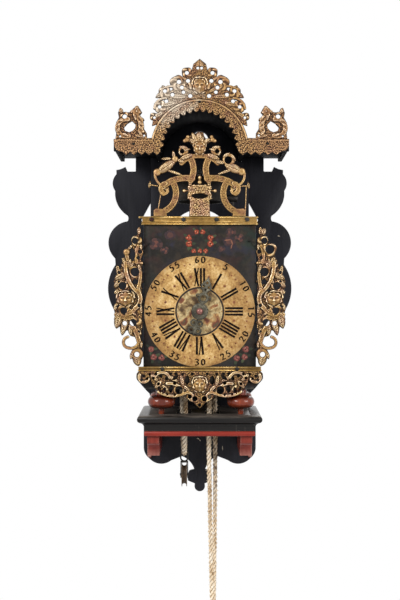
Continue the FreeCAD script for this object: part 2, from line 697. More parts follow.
def toothed(x, z, teeth, module, phase, y0, y1, crossed=False):
    shape = slab(toothed_points(x, z, teeth, module, phase), y0, y1)
    cuts = [slab(square_points(x, z, SEAT), y0, y1)]
    if crossed:
        cuts += crossings(x, z, (teeth / 2 - DEDENDUM - 3.5) * module, y0, y1)
    return shape.cut(cuts)


def meshing_phase(x, z, teeth, phase, next_x, next_z, next_teeth):
    """The phase at which the next wheel's gap faces this wheel's tooth."""
    line = math.atan2(next_z - z, next_x - x)
    lead = phase - line
    return line + math.pi - lead * teeth / next_teeth + math.pi / next_teeth


def arbor(x, z, y0, y1, front_pivot=BAR_T, rear_pivot=BAR_T):
    """A square arbor between its two bars, with a round pivot at each end."""
    body = slab(square_points(x, z, SEAT), y0 + PIVOT_SHOULDER, y1 - PIVOT_SHOULDER)
    pivot = rod_y(x, z, PIVOT_R, y0 - front_pivot, y1 + rear_pivot)
    return joined([body, pivot])


going_y0 = FRONT_BAR_Y + BAR_T
going_y1 = MIDDLE_BAR_Y
strike_y0 = MIDDLE_BAR_Y + BAR_T
strike_y1 = REAR_BAR_Y
half_pivot = BAR_T / 2 - 0.2

# Going train: great wheel with its rope pulley, second wheel, third wheel and escape wheel

great_y = going_y0 + 31.0
second_y = going_y0 + 38.0
third_y = going_y0 + 9.0
escape_y = going_y0 + 24.0
motion_y = dial_back + 5.0


def pinion_y(wheel_y):
    """A pinion stands astride the wheel that it meshes with."""
    return wheel_y + WHEEL_T / 2 - PINION_L / 2


great_wheel = toothed(GREAT_X, GREAT_Z, GREAT_TEETH, GREAT_MODULE, 0.0, great_y, great_y + WHEEL_T, True)
hour_pinion_y = pinion_y(motion_y)
hour_pinion = toothed(GREAT_X, GREAT_Z, PINION_TEETH, hour_module, 0.0, hour_pinion_y,
                      hour_pinion_y + PINION_L)
great_front = slab(square_points(GREAT_X, GREAT_Z, SEAT), hour_pinion_y, FRONT_BAR_Y - PIVOT_SHOULDER)
great_neck = rod_y(GREAT_X, GREAT_Z, great_front_r, FRONT_BAR_Y - PIVOT_SHOULDER, going_y0 + PIVOT_SHOULDER)
great_body = slab(square_points(GREAT_X, GREAT_Z, SEAT), going_y0 + PIVOT_SHOULDER,
                  going_y1 - PIVOT_SHOULDER)
great_pivot = rod_y(GREAT_X, GREAT_Z, PIVOT_R, going_y1 - PIVOT_SHOULDER, going_y1 + half_pivot)
great_arbor = joined([great_front, great_neck, great_body, great_pivot])
parts["going_great_wheel"] = Part.makeCompound([great_wheel, hour_pinion, great_arbor])


def rope_pulley(x, z, radius, y):
    """A grooved rope pulley on a square seat; the groove clears the rope all round."""
    groove_r = ROPE_R + CURVED_GAP
    rim_r = radius + PULLEY_RIM
    half = PULLEY_W / 2
    profile = [
        (0.0, y - half), (rim_r, y - half), (rim_r, y - groove_r), (radius, y - groove_r),
        ((radius - groove_r, y), (radius, y + groove_r)), (rim_r, y + groove_r), (rim_r, y + half),
        (0.0, y + half)]
    return turned(profile, x, z).cut(slab(square_points(x, z, SEAT), y - half, y + half))


parts["going_pulley"] = rope_pulley(GREAT_X, GREAT_Z, GOING_PULLEY_R, GOING_ROPE_Y)


def wheel_and_pinion(x, z, y_pinion, pinion_module, pinion_phase, y_wheel, wheel, span):
    """An arbor with its pinion and its wheel."""
    pinion = toothed(x, z, PINION_TEETH, pinion_module, pinion_phase, y_pinion, y_pinion + PINION_L)
    return Part.makeCompound([pinion, wheel, arbor(x, z, *span)])


going_span = (going_y0, going_y1, BAR_T, half_pivot)
second_phase = meshing_phase(GREAT_X, GREAT_Z, GREAT_TEETH, 0.0, SECOND_X, second_z, PINION_TEETH)
second_wheel = toothed(
    SECOND_X, second_z, SECOND_TEETH, SECOND_MODULE, second_phase, second_y, second_y + WHEEL_T, True)
parts["second_wheel"] = wheel_and_pinion(
    SECOND_X, second_z, pinion_y(great_y), GREAT_MODULE, second_phase, second_y, second_wheel, going_span)

third_phase = meshing_phase(SECOND_X, second_z, SECOND_TEETH, second_phase, THIRD_X, third_z, PINION_TEETH)
third_wheel = toothed(THIRD_X, third_z, THIRD_TEETH, THIRD_MODULE, third_phase, third_y,
                      third_y + WHEEL_T, True)
parts["third_wheel"] = wheel_and_pinion(
    THIRD_X, third_z, pinion_y(second_y), SECOND_MODULE, third_phase, third_y, third_wheel, going_span)

escape_phase = meshing_phase(THIRD_X, third_z, THIRD_TEETH, third_phase, ESCAPE_X, escape_z, PINION_TEETH)
saw = []
for tooth in range(ESCAPE_TEETH):
    tooth_angle = 2 * math.pi * tooth / ESCAPE_TEETH
    saw.append(ring_point(ESCAPE_X, escape_z, ESCAPE_R - ESCAPE_TOOTH, tooth_angle))
    saw.append(ring_point(ESCAPE_X, escape_z, ESCAPE_R, tooth_angle + 2 * math.pi * 0.3 / ESCAPE_TEETH))
escape_cuts = [slab(square_points(ESCAPE_X, escape_z, SEAT), escape_y, escape_y + WHEEL_T)]
escape_cuts += crossings(ESCAPE_X, escape_z, ESCAPE_R - ESCAPE_TOOTH - 3.0, escape_y, escape_y + WHEEL_T)
escape_wheel = slab(saw, escape_y, escape_y + WHEEL_T).cut(escape_cuts)
parts["escape_wheel"] = wheel_and_pinion(
    ESCAPE_X, escape_z, pinion_y(third_y), THIRD_MODULE, escape_phase, escape_y, escape_wheel, going_span)

# Anchor with its long arbor and crutch, the cock that carries it and the pendulum behind the cage

swing_clear = 1.9
pallet_angle = math.radians(50.0)
pallet_r = ESCAPE_R + swing_clear
pallet = (pallet_r * math.cos(pallet_angle), pallet_r * math.sin(pallet_angle))
half_anchor = [
    (8.0, ANCHOR_RISE + 5.0), (pallet[0] + 6.0, pallet[1] + 8.0), (pallet[0] + 5.0, pallet[1] - 3.0),
    pallet,
    (pallet[0] - 0.5, pallet[1] + 6.0), (4.0, ANCHOR_RISE - 5.0)]
anchor_points = [(x, escape_z + z) for x, z in half_anchor]
anchor_points += [(-x, escape_z + z) for x, z in reversed(half_anchor)]
anchor_hole = slab(square_points(ESCAPE_X, anchor_z, SEAT), escape_y, escape_y + WHEEL_T)
pallets = slab(anchor_points, escape_y, escape_y + WHEEL_T).cut(anchor_hole)
crutch_y = COCK_Y - 7.0
anchor_arbor = joined([
    slab(square_points(ESCAPE_X, anchor_z, SEAT), going_y0 + PIVOT_SHOULDER, going_y1 - PIVOT_SHOULDER),
    rod_y(ESCAPE_X, anchor_z, PIVOT_R, FRONT_BAR_Y, COCK_Y + BAR_T - 1.4),
    rod_y(ESCAPE_X, anchor_z, SEAT / 2, going_y1 - PIVOT_SHOULDER, COCK_Y - PIVOT_SHOULDER)])
crutch = joined([
    box(-ROD_W / 2, ROD_W / 2, crutch_y, crutch_y + ROD_T, anchor_z - CRUTCH_L - 4.0, anchor_z - SEAT / 2),
    rod_y(ESCAPE_X, anchor_z, SEAT / 2 + 2.0, crutch_y, crutch_y + ROD_T).cut(
        rod_y(ESCAPE_X, anchor_z, SEAT / 2, crutch_y, crutch_y + ROD_T)),
    rod_y(0, anchor_z - CRUTCH_L, 1.25, crutch_y + ROD_T, PENDULUM_Y + ROD_T + 3.0)])
parts["anchor"] = Part.makeCompound([pallets, anchor_arbor, crutch])

cock_arm_x = 13.0
rear_bar_back = REAR_BAR_Y + BAR_T
hang_pin_r = 2.0
cock = joined([
    box(cock_arm_x, cock_arm_x + 4.0, rear_bar_back, COCK_Y + BAR_T, anchor_z - 7.0, anchor_z + 7.0),
    box(cock_arm_x, cock_arm_x + 14.0, rear_bar_back, rear_bar_back + 4.0, anchor_z - 9.0, anchor_z + 9.0),
    box(-7.0, cock_arm_x + 4.0, COCK_Y, COCK_Y + BAR_T, anchor_z - 7.0, anchor_z + 7.0),
    rod_y(0, anchor_z, hang_pin_r, COCK_Y + BAR_T, PENDULUM_Y + ROD_T + 3.0)])
parts["pendulum_cock"] = cock.cut(rod_y(0, anchor_z, pivot_hole_r, COCK_Y, COCK_Y + BAR_T - 1.0))

rod_low = anchor_z - PENDULUM_L - BOB_R - 8.0
bob_z = anchor_z - PENDULUM_L
rod = joined([
    box(-ROD_W / 2, ROD_W / 2, PENDULUM_Y, PENDULUM_Y + ROD_T, rod_low, anchor_z),
    rod_y(0, anchor_z, hang_pin_r + 3.0, PENDULUM_Y, PENDULUM_Y + ROD_T)])
slot_half = 1.25 + CURVED_GAP
crutch_slot = box(
    -slot_half, slot_half, PENDULUM_Y, PENDULUM_Y + ROD_T, anchor_z - CRUTCH_L - 5.0,
    anchor_z - CRUTCH_L + 5.0)
pin_hole = rod_y(0, anchor_z, hang_pin_r + PIVOT_CLEAR, PENDULUM_Y, PENDULUM_Y + ROD_T)
parts["pendulum_rod"] = rod.cut([crutch_slot, pin_hole])
if rod_low - PENDULUM_CLEAR < SHELF_TOP_Z:
    # A pendulum longer than the cage's room swings with its tip in a slot in the shelf
    tip_way = (anchor_z - rod_low) * math.sin(math.radians(PENDULUM_SWING)) + ROD_W / 2 + PENDULUM_CLEAR
    tip_slot = box(-tip_way, tip_way, PENDULUM_Y - PENDULUM_CLEAR, PENDULUM_Y + ROD_T + PENDULUM_CLEAR,
                   rod_low - PENDULUM_CLEAR, SHELF_TOP_Z)
    parts["shelf_board"] = parts["shelf_board"].cut(tip_slot)
bob_mid = PENDULUM_Y + ROD_T / 2
bob = turned([
    (0.0, bob_mid - BOB_T / 2), (ROD_W, bob_mid - BOB_T / 2),
    ((BOB_R * 0.68, bob_mid - BOB_T / 2 + 1.6), (BOB_R, bob_mid - 1.0)), (BOB_R, bob_mid + 1.0),
    ((BOB_R * 0.68, bob_mid + BOB_T / 2 - 1.6), (ROD_W, bob_mid + BOB_T / 2)),
    (0.0, bob_mid + BOB_T / 2)], 0, bob_z)
rating_nut = rod_z(0, bob_mid, 4.5, bob_z - BOB_R - 4.5, bob_z - BOB_R - 0.5)
rod_room = box(-ROD_W / 2, ROD_W / 2, PENDULUM_Y, PENDULUM_Y + ROD_T, rod_low, anchor_z)
parts["pendulum_bob"] = Part.makeCompound([bob.cut(rod_room), rating_nut.cut(rod_room)])

# Strike train: great wheel with lifting pins and pulley, second wheel and fly

strike_great_y = strike_y1 - 12.0
strike_second_y = strike_y0 + 4.0
strike_wheel = toothed(
    GREAT_X, GREAT_Z, GREAT_TEETH, GREAT_MODULE, 0.0, strike_great_y, strike_great_y + WHEEL_T, True)
lift_pins = []
for pin in range(LIFT_PINS):
    place = ring_point(GREAT_X, GREAT_Z, LIFT_PIN_CIRCLE, 2 * math.pi * (pin + 0.5) / LIFT_PINS)
    lift_pins.append(rod_y(*place, LIFT_PIN_R, strike_great_y - LIFT_PIN_L, strike_great_y))
strike_arbor = arbor(GREAT_X, GREAT_Z, strike_y0, strike_y1, half_pivot, BAR_T)
parts["strike_great_wheel"] = Part.makeCompound([strike_wheel, strike_arbor] + lift_pins)
parts["strike_pulley"] = rope_pulley(GREAT_X, GREAT_Z, STRIKE_PULLEY_R, STRIKE_ROPE_Y)

strike_span = (strike_y0, strike_y1)
strike_phase = meshing_phase(GREAT_X, GREAT_Z, GREAT_TEETH, 0.0, STRIKE_SECOND_X, strike_second_z,
                             PINION_TEETH)
strike_second = toothed(
    STRIKE_SECOND_X, strike_second_z, THIRD_TEETH, THIRD_MODULE, strike_phase,
    strike_second_y, strike_second_y + WHEEL_T, True)
parts["strike_second_wheel"] = wheel_and_pinion(
    STRIKE_SECOND_X, strike_second_z, pinion_y(strike_great_y), GREAT_MODULE, strike_phase,
    strike_second_y, strike_second, strike_span)

fly_phase = meshing_phase(
    STRIKE_SECOND_X, strike_second_z, THIRD_TEETH, strike_phase, FLY_X, fly_z, PINION_TEETH)
vanes = slab([
    (FLY_X - FLY_R, fly_z - 0.8), (FLY_X + FLY_R, fly_z - 0.8), (FLY_X + FLY_R, fly_z + 0.8),
    (FLY_X - FLY_R, fly_z + 0.8)], strike_y0 + 14.0, strike_y1 - 14.0)
vanes = vanes.cut(slab(square_points(FLY_X, fly_z, SEAT), strike_y0 + 14.0, strike_y1 - 14.0))
fly_pinion = toothed(
    FLY_X, fly_z, PINION_TEETH, THIRD_MODULE, fly_phase, pinion_y(strike_second_y),
    pinion_y(strike_second_y) + PINION_L)
parts["strike_fly"] = Part.makeCompound([vanes, fly_pinion, arbor(FLY_X, fly_z, *strike_span)])

# Bell on its stand above the top plate, and the hammer that strikes its rim

bell_top = BELL_MOUTH_Z + BELL_H
flare = 4.0
parts["bell"] = turned([
    (BELL_STEM_R, bell_top), ((BELL_R * 0.72, bell_top - BELL_H * 0.24),
                              (BELL_R - flare, BELL_MOUTH_Z + 14.0)),
    (BELL_R, BELL_MOUTH_Z), (BELL_R - BELL_T, BELL_MOUTH_Z), (BELL_R - flare - BELL_T, BELL_MOUTH_Z + 14.0),
    ((BELL_R * 0.72 - BELL_T * 0.7, bell_top - BELL_H * 0.24 - BELL_T * 0.7),
     (BELL_STEM_R, bell_top - BELL_T))],
    0, BELL_Y, y_axis=False)
bell_seat = bell_top - BELL_T
nut_h = 6.0
stand = joined([
    rod_z(0, BELL_Y, BELL_STEM_R, TOP_PLATE_Z - 4.0, bell_top + nut_h + 2.0),
    rod_z(0, BELL_Y, BELL_STEM_R + 2.0, top_plate_high, bell_seat)])
foot_nut = rod_z(0, BELL_Y, BELL_STEM_R + 4.0, TOP_PLATE_Z - 4.0, TOP_PLATE_Z)
bell_nut = rod_z(0, BELL_Y, BELL_STEM_R + 3.5, bell_top, bell_top + nut_h)
stem_room = rod_z(0, BELL_Y, BELL_STEM_R, TOP_PLATE_Z - 4.0, bell_top + nut_h)
parts["bell_stand"] = Part.makeCompound([stand, foot_nut.cut(stem_room), bell_nut.cut(stem_room)])

tail_reach = LIFT_PIN_CIRCLE + LIFT_PIN_R + 0.8
to_wheel = math.dist((GREAT_X, GREAT_Z), (HAMMER_X, HAMMER_Z))
tail_tip = (
    GREAT_X + (HAMMER_X - GREAT_X) * tail_reach / to_wheel,
    GREAT_Z + (HAMMER_Z - GREAT_Z) * tail_reach / to_wheel)
tail_y = strike_great_y - 5.0
arm_w = HAMMER_ARM_W
hammer = joined([
    arbor(HAMMER_X, HAMMER_Z, strike_y0, strike_y1),
    bar((HAMMER_X, HAMMER_Z), (arm_x, head_z), arm_w, BELL_Y - arm_w / 2, BELL_Y + arm_w / 2),
    bar((HAMMER_X, HAMMER_Z), tail_tip, arm_w, tail_y, tail_y + arm_w),
    rod_x(BELL_Y, head_z, HAMMER_HEAD_R, head_x0, head_x0 + 18.0)])
parts["hammer"] = hammer

# Dial plate, strips and the hour hand on its arbor

dial_hole_r = HAND_ARBOR_R + PIVOT_CLEAR
dial = box(-DIAL_HALF, DIAL_HALF, DIAL_FRONT_Y, dial_back, DIAL_BOTTOM_Z, DIAL_TOP_Z)
parts["dial_plate"] = dial.cut(rod_y(0, DIAL_CENTRE_Z, dial_hole_r, DIAL_FRONT_Y, dial_back))
strip_y0 = DIAL_FRONT_Y - STRIP_T
strip_low = TOP_STRIP_TOP_Z - TOP_STRIP_H
top_strip = box(-TOP_STRIP_HALF, TOP_STRIP_HALF, strip_y0, DIAL_FRONT_Y, strip_low, TOP_STRIP_TOP_Z)
bottom_strip_low = BOTTOM_STRIP_TOP_Z - BOTTOM_STRIP_H
bottom_strip = box(
    -BOTTOM_STRIP_HALF, BOTTOM_STRIP_HALF, strip_y0, DIAL_FRONT_Y, bottom_strip_low, BOTTOM_STRIP_TOP_Z)
screw_z = TOP_STRIP_TOP_Z - 5.0
screws = []
for screw_x in (-77.0, -26.0, 27.0, 76.0):
    head = rod_y(screw_x, screw_z, SCREW_HEAD_R * 0.7, strip_y0 - SCREW_HEAD_T, strip_y0)
    shank = rod_y(screw_x, screw_z, SCREW_R * 0.6, strip_y0, dial_back)
    screws.append(joined([head, shank]))
for screw_x in (-60.0, 60.0):
    head = rod_y(screw_x, bottom_strip_low + BOTTOM_STRIP_H / 2, SCREW_HEAD_R * 0.6,
                 strip_y0 - SCREW_HEAD_T, strip_y0)
    shank = rod_y(screw_x, bottom_strip_low + BOTTOM_STRIP_H / 2, SCREW_R * 0.6, strip_y0, dial_back)
    screws.append(joined([head, shank]))
parts["top_strip"] = top_strip.cut(screws)
parts["bottom_strip"] = bottom_strip.cut(screws)
parts["dial_plate"] = parts["dial_plate"].cut(screws)
parts["dial_screws"] = Part.makeCompound(screws)

hour_phase = meshing_phase(GREAT_X, GREAT_Z, PINION_TEETH, 0.0, 0.0, DIAL_CENTRE_Z, HOUR_TEETH)
hour_wheel = toothed(0.0, DIAL_CENTRE_Z, HOUR_TEETH, hour_module, hour_phase, motion_y,
                     motion_y + WHEEL_T, True)
hour_arbor = joined([
    slab(square_points(0.0, DIAL_CENTRE_Z, SEAT), dial_back + 1.0, FRONT_BAR_Y - PIVOT_SHOULDER),
    rod_y(0, DIAL_CENTRE_Z, PIVOT_R, FRONT_BAR_Y - PIVOT_SHOULDER, FRONT_BAR_Y + BAR_T),
    rod_y(0, DIAL_CENTRE_Z, HAND_ARBOR_R, HAND_Y - 2.5, dial_back + 1.0)])
parts["hour_wheel"] = Part.makeCompound([hour_wheel, hour_arbor])


def hand_point(along, across):
    return (
        along * math.sin(HAND_ANGLE) + across * math.cos(HAND_ANGLE),
        DIAL_CENTRE_Z + along * math.cos(HAND_ANGLE) - across * math.sin(HAND_ANGLE))


hand_y1 = HAND_Y + HAND_T


def hand_ring(along, across, outer, inner):
    x, z = hand_point(along, across)
    return rod_y(x, z, outer, HAND_Y, hand_y1).cut(rod_y(x, z, inner, HAND_Y, hand_y1))


half_head = [(HAND_L - 6.0, 2.6), (HAND_L - 11.0, 6.0), (HAND_L - 15.5, 8.8), (HAND_L - 20.0, 8.6)]
half_head += [(HAND_L - 23.5, 5.2), (HAND_L - 27.0, 3.6), (HAND_L - 30.5, 2.4)]
head_points = [hand_point(HAND_L, 0.0)] + [hand_point(*point) for point in half_head]
head_points += [hand_point(along, -across) for along, across in reversed(half_head)]
head = slab(head_points, HAND_Y, hand_y1)
head_holes = []
for along, across, r in ((17.5, 4.2, 2.0), (17.5, -4.2, 2.0), (11.0, 0.0, 1.7), (22.0, 0.0, 1.5)):
    x, z = hand_point(HAND_L - along, across)
    head_holes.append(rod_y(x, z, r, HAND_Y, hand_y1))
hand_pieces = [
    rod_y(0, DIAL_CENTRE_Z, HAND_BOSS_R, HAND_Y, hand_y1), head.cut(head_holes),
    hand_ring(HAND_BOSS_R + 8.5, 0.0, 9.0, 4.6),
    lens(hand_point(2.0 - HAND_BOSS_R, 0.0), hand_point(-HAND_TAIL, 0.0), 6.0, HAND_Y, hand_y1)]
for side in (-1, 1):
    hand_pieces.append(hand_ring(HAND_BOSS_R + 10.5, side * 9.5, 3.4, 1.4))
    hand_pieces.append(hand_ring(-HAND_BOSS_R - 6.0, side * 5.0, 5.6, 2.4))
    hand_pieces.append(hand_ring(-HAND_BOSS_R - 18.0, side * 5.4, 6.0, 2.5))
hand = joined(hand_pieces)
parts["hour_hand"] = hand.cut(rod_y(0, DIAL_CENTRE_Z, HAND_ARBOR_R, HAND_Y, hand_y1))
hand_cap = turned([
    (0.0, HAND_Y - 4.5), ((HAND_ARBOR_R + 1.0, HAND_Y - 3.4), (HAND_ARBOR_R + 2.5, HAND_Y)), (0.0, HAND_Y)],
    0, DIAL_CENTRE_Z)
parts["hand_cap"] = hand_cap.cut(rod_y(0, DIAL_CENTRE_Z, HAND_ARBOR_R, HAND_Y - 2.5, HAND_Y))

# Gilt frets round the dial, each one pierced casting

fret_span = (DIAL_FRONT_Y - FRET_T, DIAL_FRONT_Y)


def disc(x, z, r):
    return rod_y(x, z, r, *fret_span)


def ringed(x, z, outer, hole_x, hole_z, inner):
    return disc(x, z, outer).cut(disc(hole_x, hole_z, inner))


def scroll(start, middle, end, width):
    return bow(start, middle, end, width, *fret_span)


def leaf(start, end, width):
    return lens(start, end, width, *fret_span)


def stalk(start, end, width):
    return bar(start, end, width, *fret_span)


fret_base = TOP_STRIP_TOP_Z


def top(x, height):
    return (x, fret_base + height)


half_top = [
    scroll(top(29.0, 85.0), top(17.0, 93.5), top(-1.0, 96.5), 8.0),
    scroll(top(14.5, 92.0), top(9.8, 75.0), top(14.5, 58.0), 9.8),
    scroll(top(12.0, 60.5), top(34.0, 60.0), top(57.0, 49.5), 9.5),
    scroll(top(55.0, 52.5), top(62.5, 44.5), top(58.0, 36.5), 7.0),
    scroll(top(59.5, 37.5), top(54.0, 36.5), top(51.0, 41.0), 5.0),
    scroll(top(45.0, 57.0), top(38.0, 34.0), top(55.0, 9.0), 9.5),
    slab([top(52.0, 0.0), top(74.0, 0.0), top(74.0, 10.0), top(70.0, 13.0), top(54.0, 12.0)], *fret_span),
    leaf(top(15.0, 60.0), top(15.3, 44.0), 6.0), leaf(top(10.0, 100.0), top(33.0, 91.0), 9.0),
    ringed(*top(26.0, 105.0), 8.5, *top(28.0, 104.0), 3.5), leaf(top(8.0, 118.0), top(21.0, 122.5), 5.0),
    disc(*top(20.5, 122.8), 4.2), disc(*top(24.0, 121.0), 3.4), disc(*top(19.0, 127.0), 3.4),
    stalk(top(16.0, 40.8), top(24.7, 40.8), 3.0), disc(*top(24.7, 40.8), 3.2)]
middle_top = [
    slab([top(-12.0, 111.0), (top(0.0, 98.0), top(12.0, 111.0)), (top(0.0, 123.5), top(-12.0, 111.0))],
         *fret_span),
    leaf(top(0.0, 118.0), top(-2.0, 136.0), 15.0),
    slab([top(-17.0, 0.0), top(17.0, 0.0), top(15.5, 25.0), top(19.4, 28.8), top(19.4, 36.0),
          top(17.0, 38.0),
          top(20.0, 46.0), (top(0.0, 51.0), top(-20.0, 46.0)), top(-17.0, 38.0), top(-19.4, 36.0),
          top(-19.4, 28.8), top(-15.5, 25.0)], *fret_span),
    disc(*top(0.0, 54.5), 3.6), disc(*top(0.0, 62.0), 3.2), leaf(top(0.0, 48.0), top(0.0, 68.5), 4.0)]
left_beast_top = [
    leaf(top(-37.0, 91.0), top(-71.0, 67.0), 15.0), disc(*top(-68.0, 70.5), 6.5),
    disc(*top(-39.5, 91.5), 5.5),
    leaf(top(-40.0, 90.0), top(-43.0, 105.5), 6.0), leaf(top(-43.0, 92.5), top(-63.0, 92.0), 5.0),
    leaf(top(-56.0, 75.0), top(-26.0, 65.5), 5.0), scroll(top(-71.5, 70.0), top(-70.5, 61.0),
                                                          top(-63.0, 51.0), 4.5),
    leaf(top(-40.0, 92.0), top(-23.0, 86.0), 6.0), stalk(top(-60.0, 47.5), top(-80.0, 50.5), 2.6),
    leaf(top(-79.0, 57.5), top(-81.5, 44.0), 4.5), stalk(top(-61.5, 41.0), top(-66.5, 10.0), 2.6)]
right_beast_top = [
    ringed(*top(46.6, 90.8), 10.5, *top(45.6, 90.0), 6.0), leaf(top(38.0, 84.0), top(71.0, 69.5), 15.0),
    disc(*top(67.0, 71.5), 6.5), scroll(top(71.0, 70.0), top(71.0, 60.0), top(62.5, 50.0), 4.5),
    leaf(top(58.0, 77.0), top(26.5, 66.5), 5.0), leaf(top(42.0, 85.0), top(23.0, 88.0), 7.0),
    stalk(top(58.0, 47.5), top(77.0, 49.0), 2.6), leaf(top(77.0, 56.0), top(79.5, 43.0), 4.5),
    stalk(top(74.6, 48.0), top(73.0, 5.0), 2.6)]
collar_slot = slab([
    top(-13.8, 32.5), (top(0.0, 28.4), top(13.8, 32.5)), (top(0.0, 36.6), top(-13.8, 32.5))], *fret_span)
top_pieces = half_top + [mirrored(piece) for piece in half_top] + middle_top + left_beast_top + right_beast_top
parts["top_fret"] = joined(top_pieces).cut(collar_slot)


def side(out, up):
    """A place on the right fret, from the dial plate's edge and the dial's centre."""
    return (DIAL_HALF + out, DIAL_CENTRE_Z + up)


side_pieces = [
    leaf(side(6.8, 136.0), side(6.8, 123.0), 5.5), stalk(side(6.8, 127.0), side(9.0, 119.0), 3.0),
    disc(*side(10.8, 113.0), 9.2), scroll(side(8.0, 105.0), side(11.5, 94.0), side(10.4, 78.0), 4.5),
    leaf(side(15.0, 108.0), side(27.0, 96.0), 4.5), ringed(*side(5.4, 94.5), 4.6, *side(5.4, 94.5), 2.3),
    stalk(side(8.0, 94.5), side(11.5, 94.5), 3.0), disc(*side(27.0, 95.0), 5.4),
    scroll(side(26.8, 91.0), side(25.5, 84.0), side(26.0, 74.0), 5.5),
    leaf(side(33.5, 85.0), side(28.0, 72.0), 5.0),
    leaf(side(42.5, 75.5), side(38.0, 52.0), 7.0), stalk(side(2.5, 77.5), side(33.0, 77.5), 5.5),
    disc(*side(13.8, 64.0), 10.5), scroll(side(28.5, 76.0), side(22.0, 47.0), side(9.6, 31.0), 8.0),
    scroll(side(9.6, 33.0), side(4.8, 20.0), side(13.0, 5.0), 9.0),
    scroll(side(10.5, 8.0), side(15.0, 2.0), side(26.0, -5.0), 8.0),
    scroll(side(4.5, 62.0), side(5.5, 48.0), side(9.0, 34.0), 5.5), disc(*side(39.5, 52.4), 6.5),
    disc(*side(43.5, 42.0), 4.5), disc(*side(32.5, 40.4), 9.5), leaf(side(22.0, 62.0), side(42.0, 50.0),
        8.0),
    slab([side(13.0, 19.5), (side(28.5, 8.0), side(44.0, 19.5)), (side(28.5, 33.0), side(13.0, 19.5))],
         *fret_span),
    disc(*side(31.5, 1.0), 11.0), ringed(*side(5.4, 0.5), 4.6, *side(5.4, 0.5), 2.0),
    leaf(side(38.0, -4.0), side(43.5, -27.0), 10.0), leaf(side(24.0, -9.0), side(35.5, -39.0), 9.5),
    leaf(side(19.5, -16.0), side(20.5, -39.0), 8.0), scroll(side(41.0, -7.0), side(30.0, -10.5),
        side(18.0, -11.0), 9.0),
    disc(*side(12.5, -17.7), 11.0), scroll(side(18.0, -20.0), side(12.0, -33.0), side(7.4, -46.0), 7.5),
    scroll(side(25.0, -41.5), side(32.0, -49.0), side(23.0, -58.5), 4.0),
    scroll(side(24.5, -58.5), side(15.0, -58.0), side(8.0, -51.0), 4.5),
    stalk(side(7.0, -43.0), side(8.5, -62.0), 5.0), disc(*side(10.0, -68.0), 9.8),
    leaf(side(14.0, -62.0), side(7.4, -88.0), 13.0)]
side_holes = [
    disc(*side(13.3, 112.6), 4.4), disc(*side(13.8, 64.0), 6.3), disc(*side(32.5, 40.4), 5.2),
    disc(*side(31.5, -0.5), 5.4), disc(*side(15.5, -17.7), 4.8), disc(*side(12.0, -72.0), 3.4)]
side_tabs = []
for height, reach in ((94.5, 2.5), (48.0, 4.0), (20.0, 2.0), (-17.7, 3.0), (-66.0, 3.0)):
    side_tabs.append(box(DIAL_HALF, DIAL_HALF + reach, *fret_span, DIAL_CENTRE_Z + height - 2.5,
                         DIAL_CENTRE_Z + height + 2.5))
right_fret = joined([joined(side_pieces).cut(side_holes)] + side_tabs)
right_fret.translate(vec(0, DIAL_T, 0))
parts["right_fret"] = right_fret
parts["left_fret"] = mirrored(right_fret)

drop_top = bottom_strip_low


def low(x, depth):
    return (x, drop_top - depth)


half_drop = [
    low(97.5, 0.0), (low(101.5, 9.0), low(97.0, 18.0)), (low(87.0, 20.5), low(79.0, 14.0)), low(75.0, 22.0),
    low(72.0, 28.0), low(65.0, 36.0), (low(45.0, 41.5), low(24.0, 38.5)), low(21.5, 44.0), low(13.0, 47.5),
    low(6.5, 54.0), low(0.0, 60.0)]
drop_points = mirrored_steps(half_drop)
drop = slab(half_drop[:-1] + drop_points, *fret_span)
half_drop_cuts = [
    disc(*low(53.0, 12.3), 2.5), leaf(low(45.0, 23.0), low(47.0, 35.0), 6.0), disc(*low(33.0, 30.3), 6.0),
    leaf(low(20.0, 7.0), low(20.0, 22.0), 7.0), disc(*low(66.0, 20.3), 2.0), disc(*low(15.9, 40.8), 3.0),
    disc(*low(7.5, 44.3), 4.0), leaf(low(34.0, 7.0), low(44.0, 14.0), 4.5), disc(*low(62.0, 8.0), 2.2),
    disc(*low(90.0, 8.0), 2.0), disc(*low(84.0, 12.0), 1.8), disc(*low(93.0, 14.0), 1.8),
    leaf(low(55.0, 26.0), low(59.0, 36.0), 4.5), disc(*low(40.0, 19.0), 2.0), disc(*low(74.0, 11.0), 2.0)]
drop_cuts = half_drop_cuts + [mirrored(piece) for piece in half_drop_cuts] + [disc(*low(0.0, 54.8), 2.2)]
parts["bottom_fret"] = drop.cut(drop_cuts)

# Side doors, hinged on pins at their rear edge

door_low = cage_low + DOOR_GAP
door_high = cage_high - DOOR_GAP
door_edge = DOOR_HINGE_Y
door_panel = box(DOOR_X - DOOR_T / 2, DOOR_X + DOOR_T / 2, DOOR_FRONT_Y, door_edge, door_low, door_high)
barrel = rod_z(DOOR_X, DOOR_HINGE_Y, DOOR_BARREL_R, door_low, door_high)
pins = rod_z(DOOR_X, DOOR_HINGE_Y, DOOR_PIN_R, BOTTOM_PLATE_Z, top_plate_high)
knob_z = (door_low + door_high) / 2
knob_y = DOOR_FRONT_Y + 10.0
knob = Part.makeSphere(4.0, vec(DOOR_X + DOOR_T / 2 + 6.0, knob_y, knob_z))
knob_stem = rod_x(knob_y, knob_z, 1.5, DOOR_X, DOOR_X + DOOR_T / 2 + 4.0)
parts["right_door"] = joined([door_panel, barrel, pins, knob_stem, knob])
parts["left_door"] = mirrored(parts["right_door"])

# Endless rope: each half runs from the top of one pulley, down through the shelf and up to the other


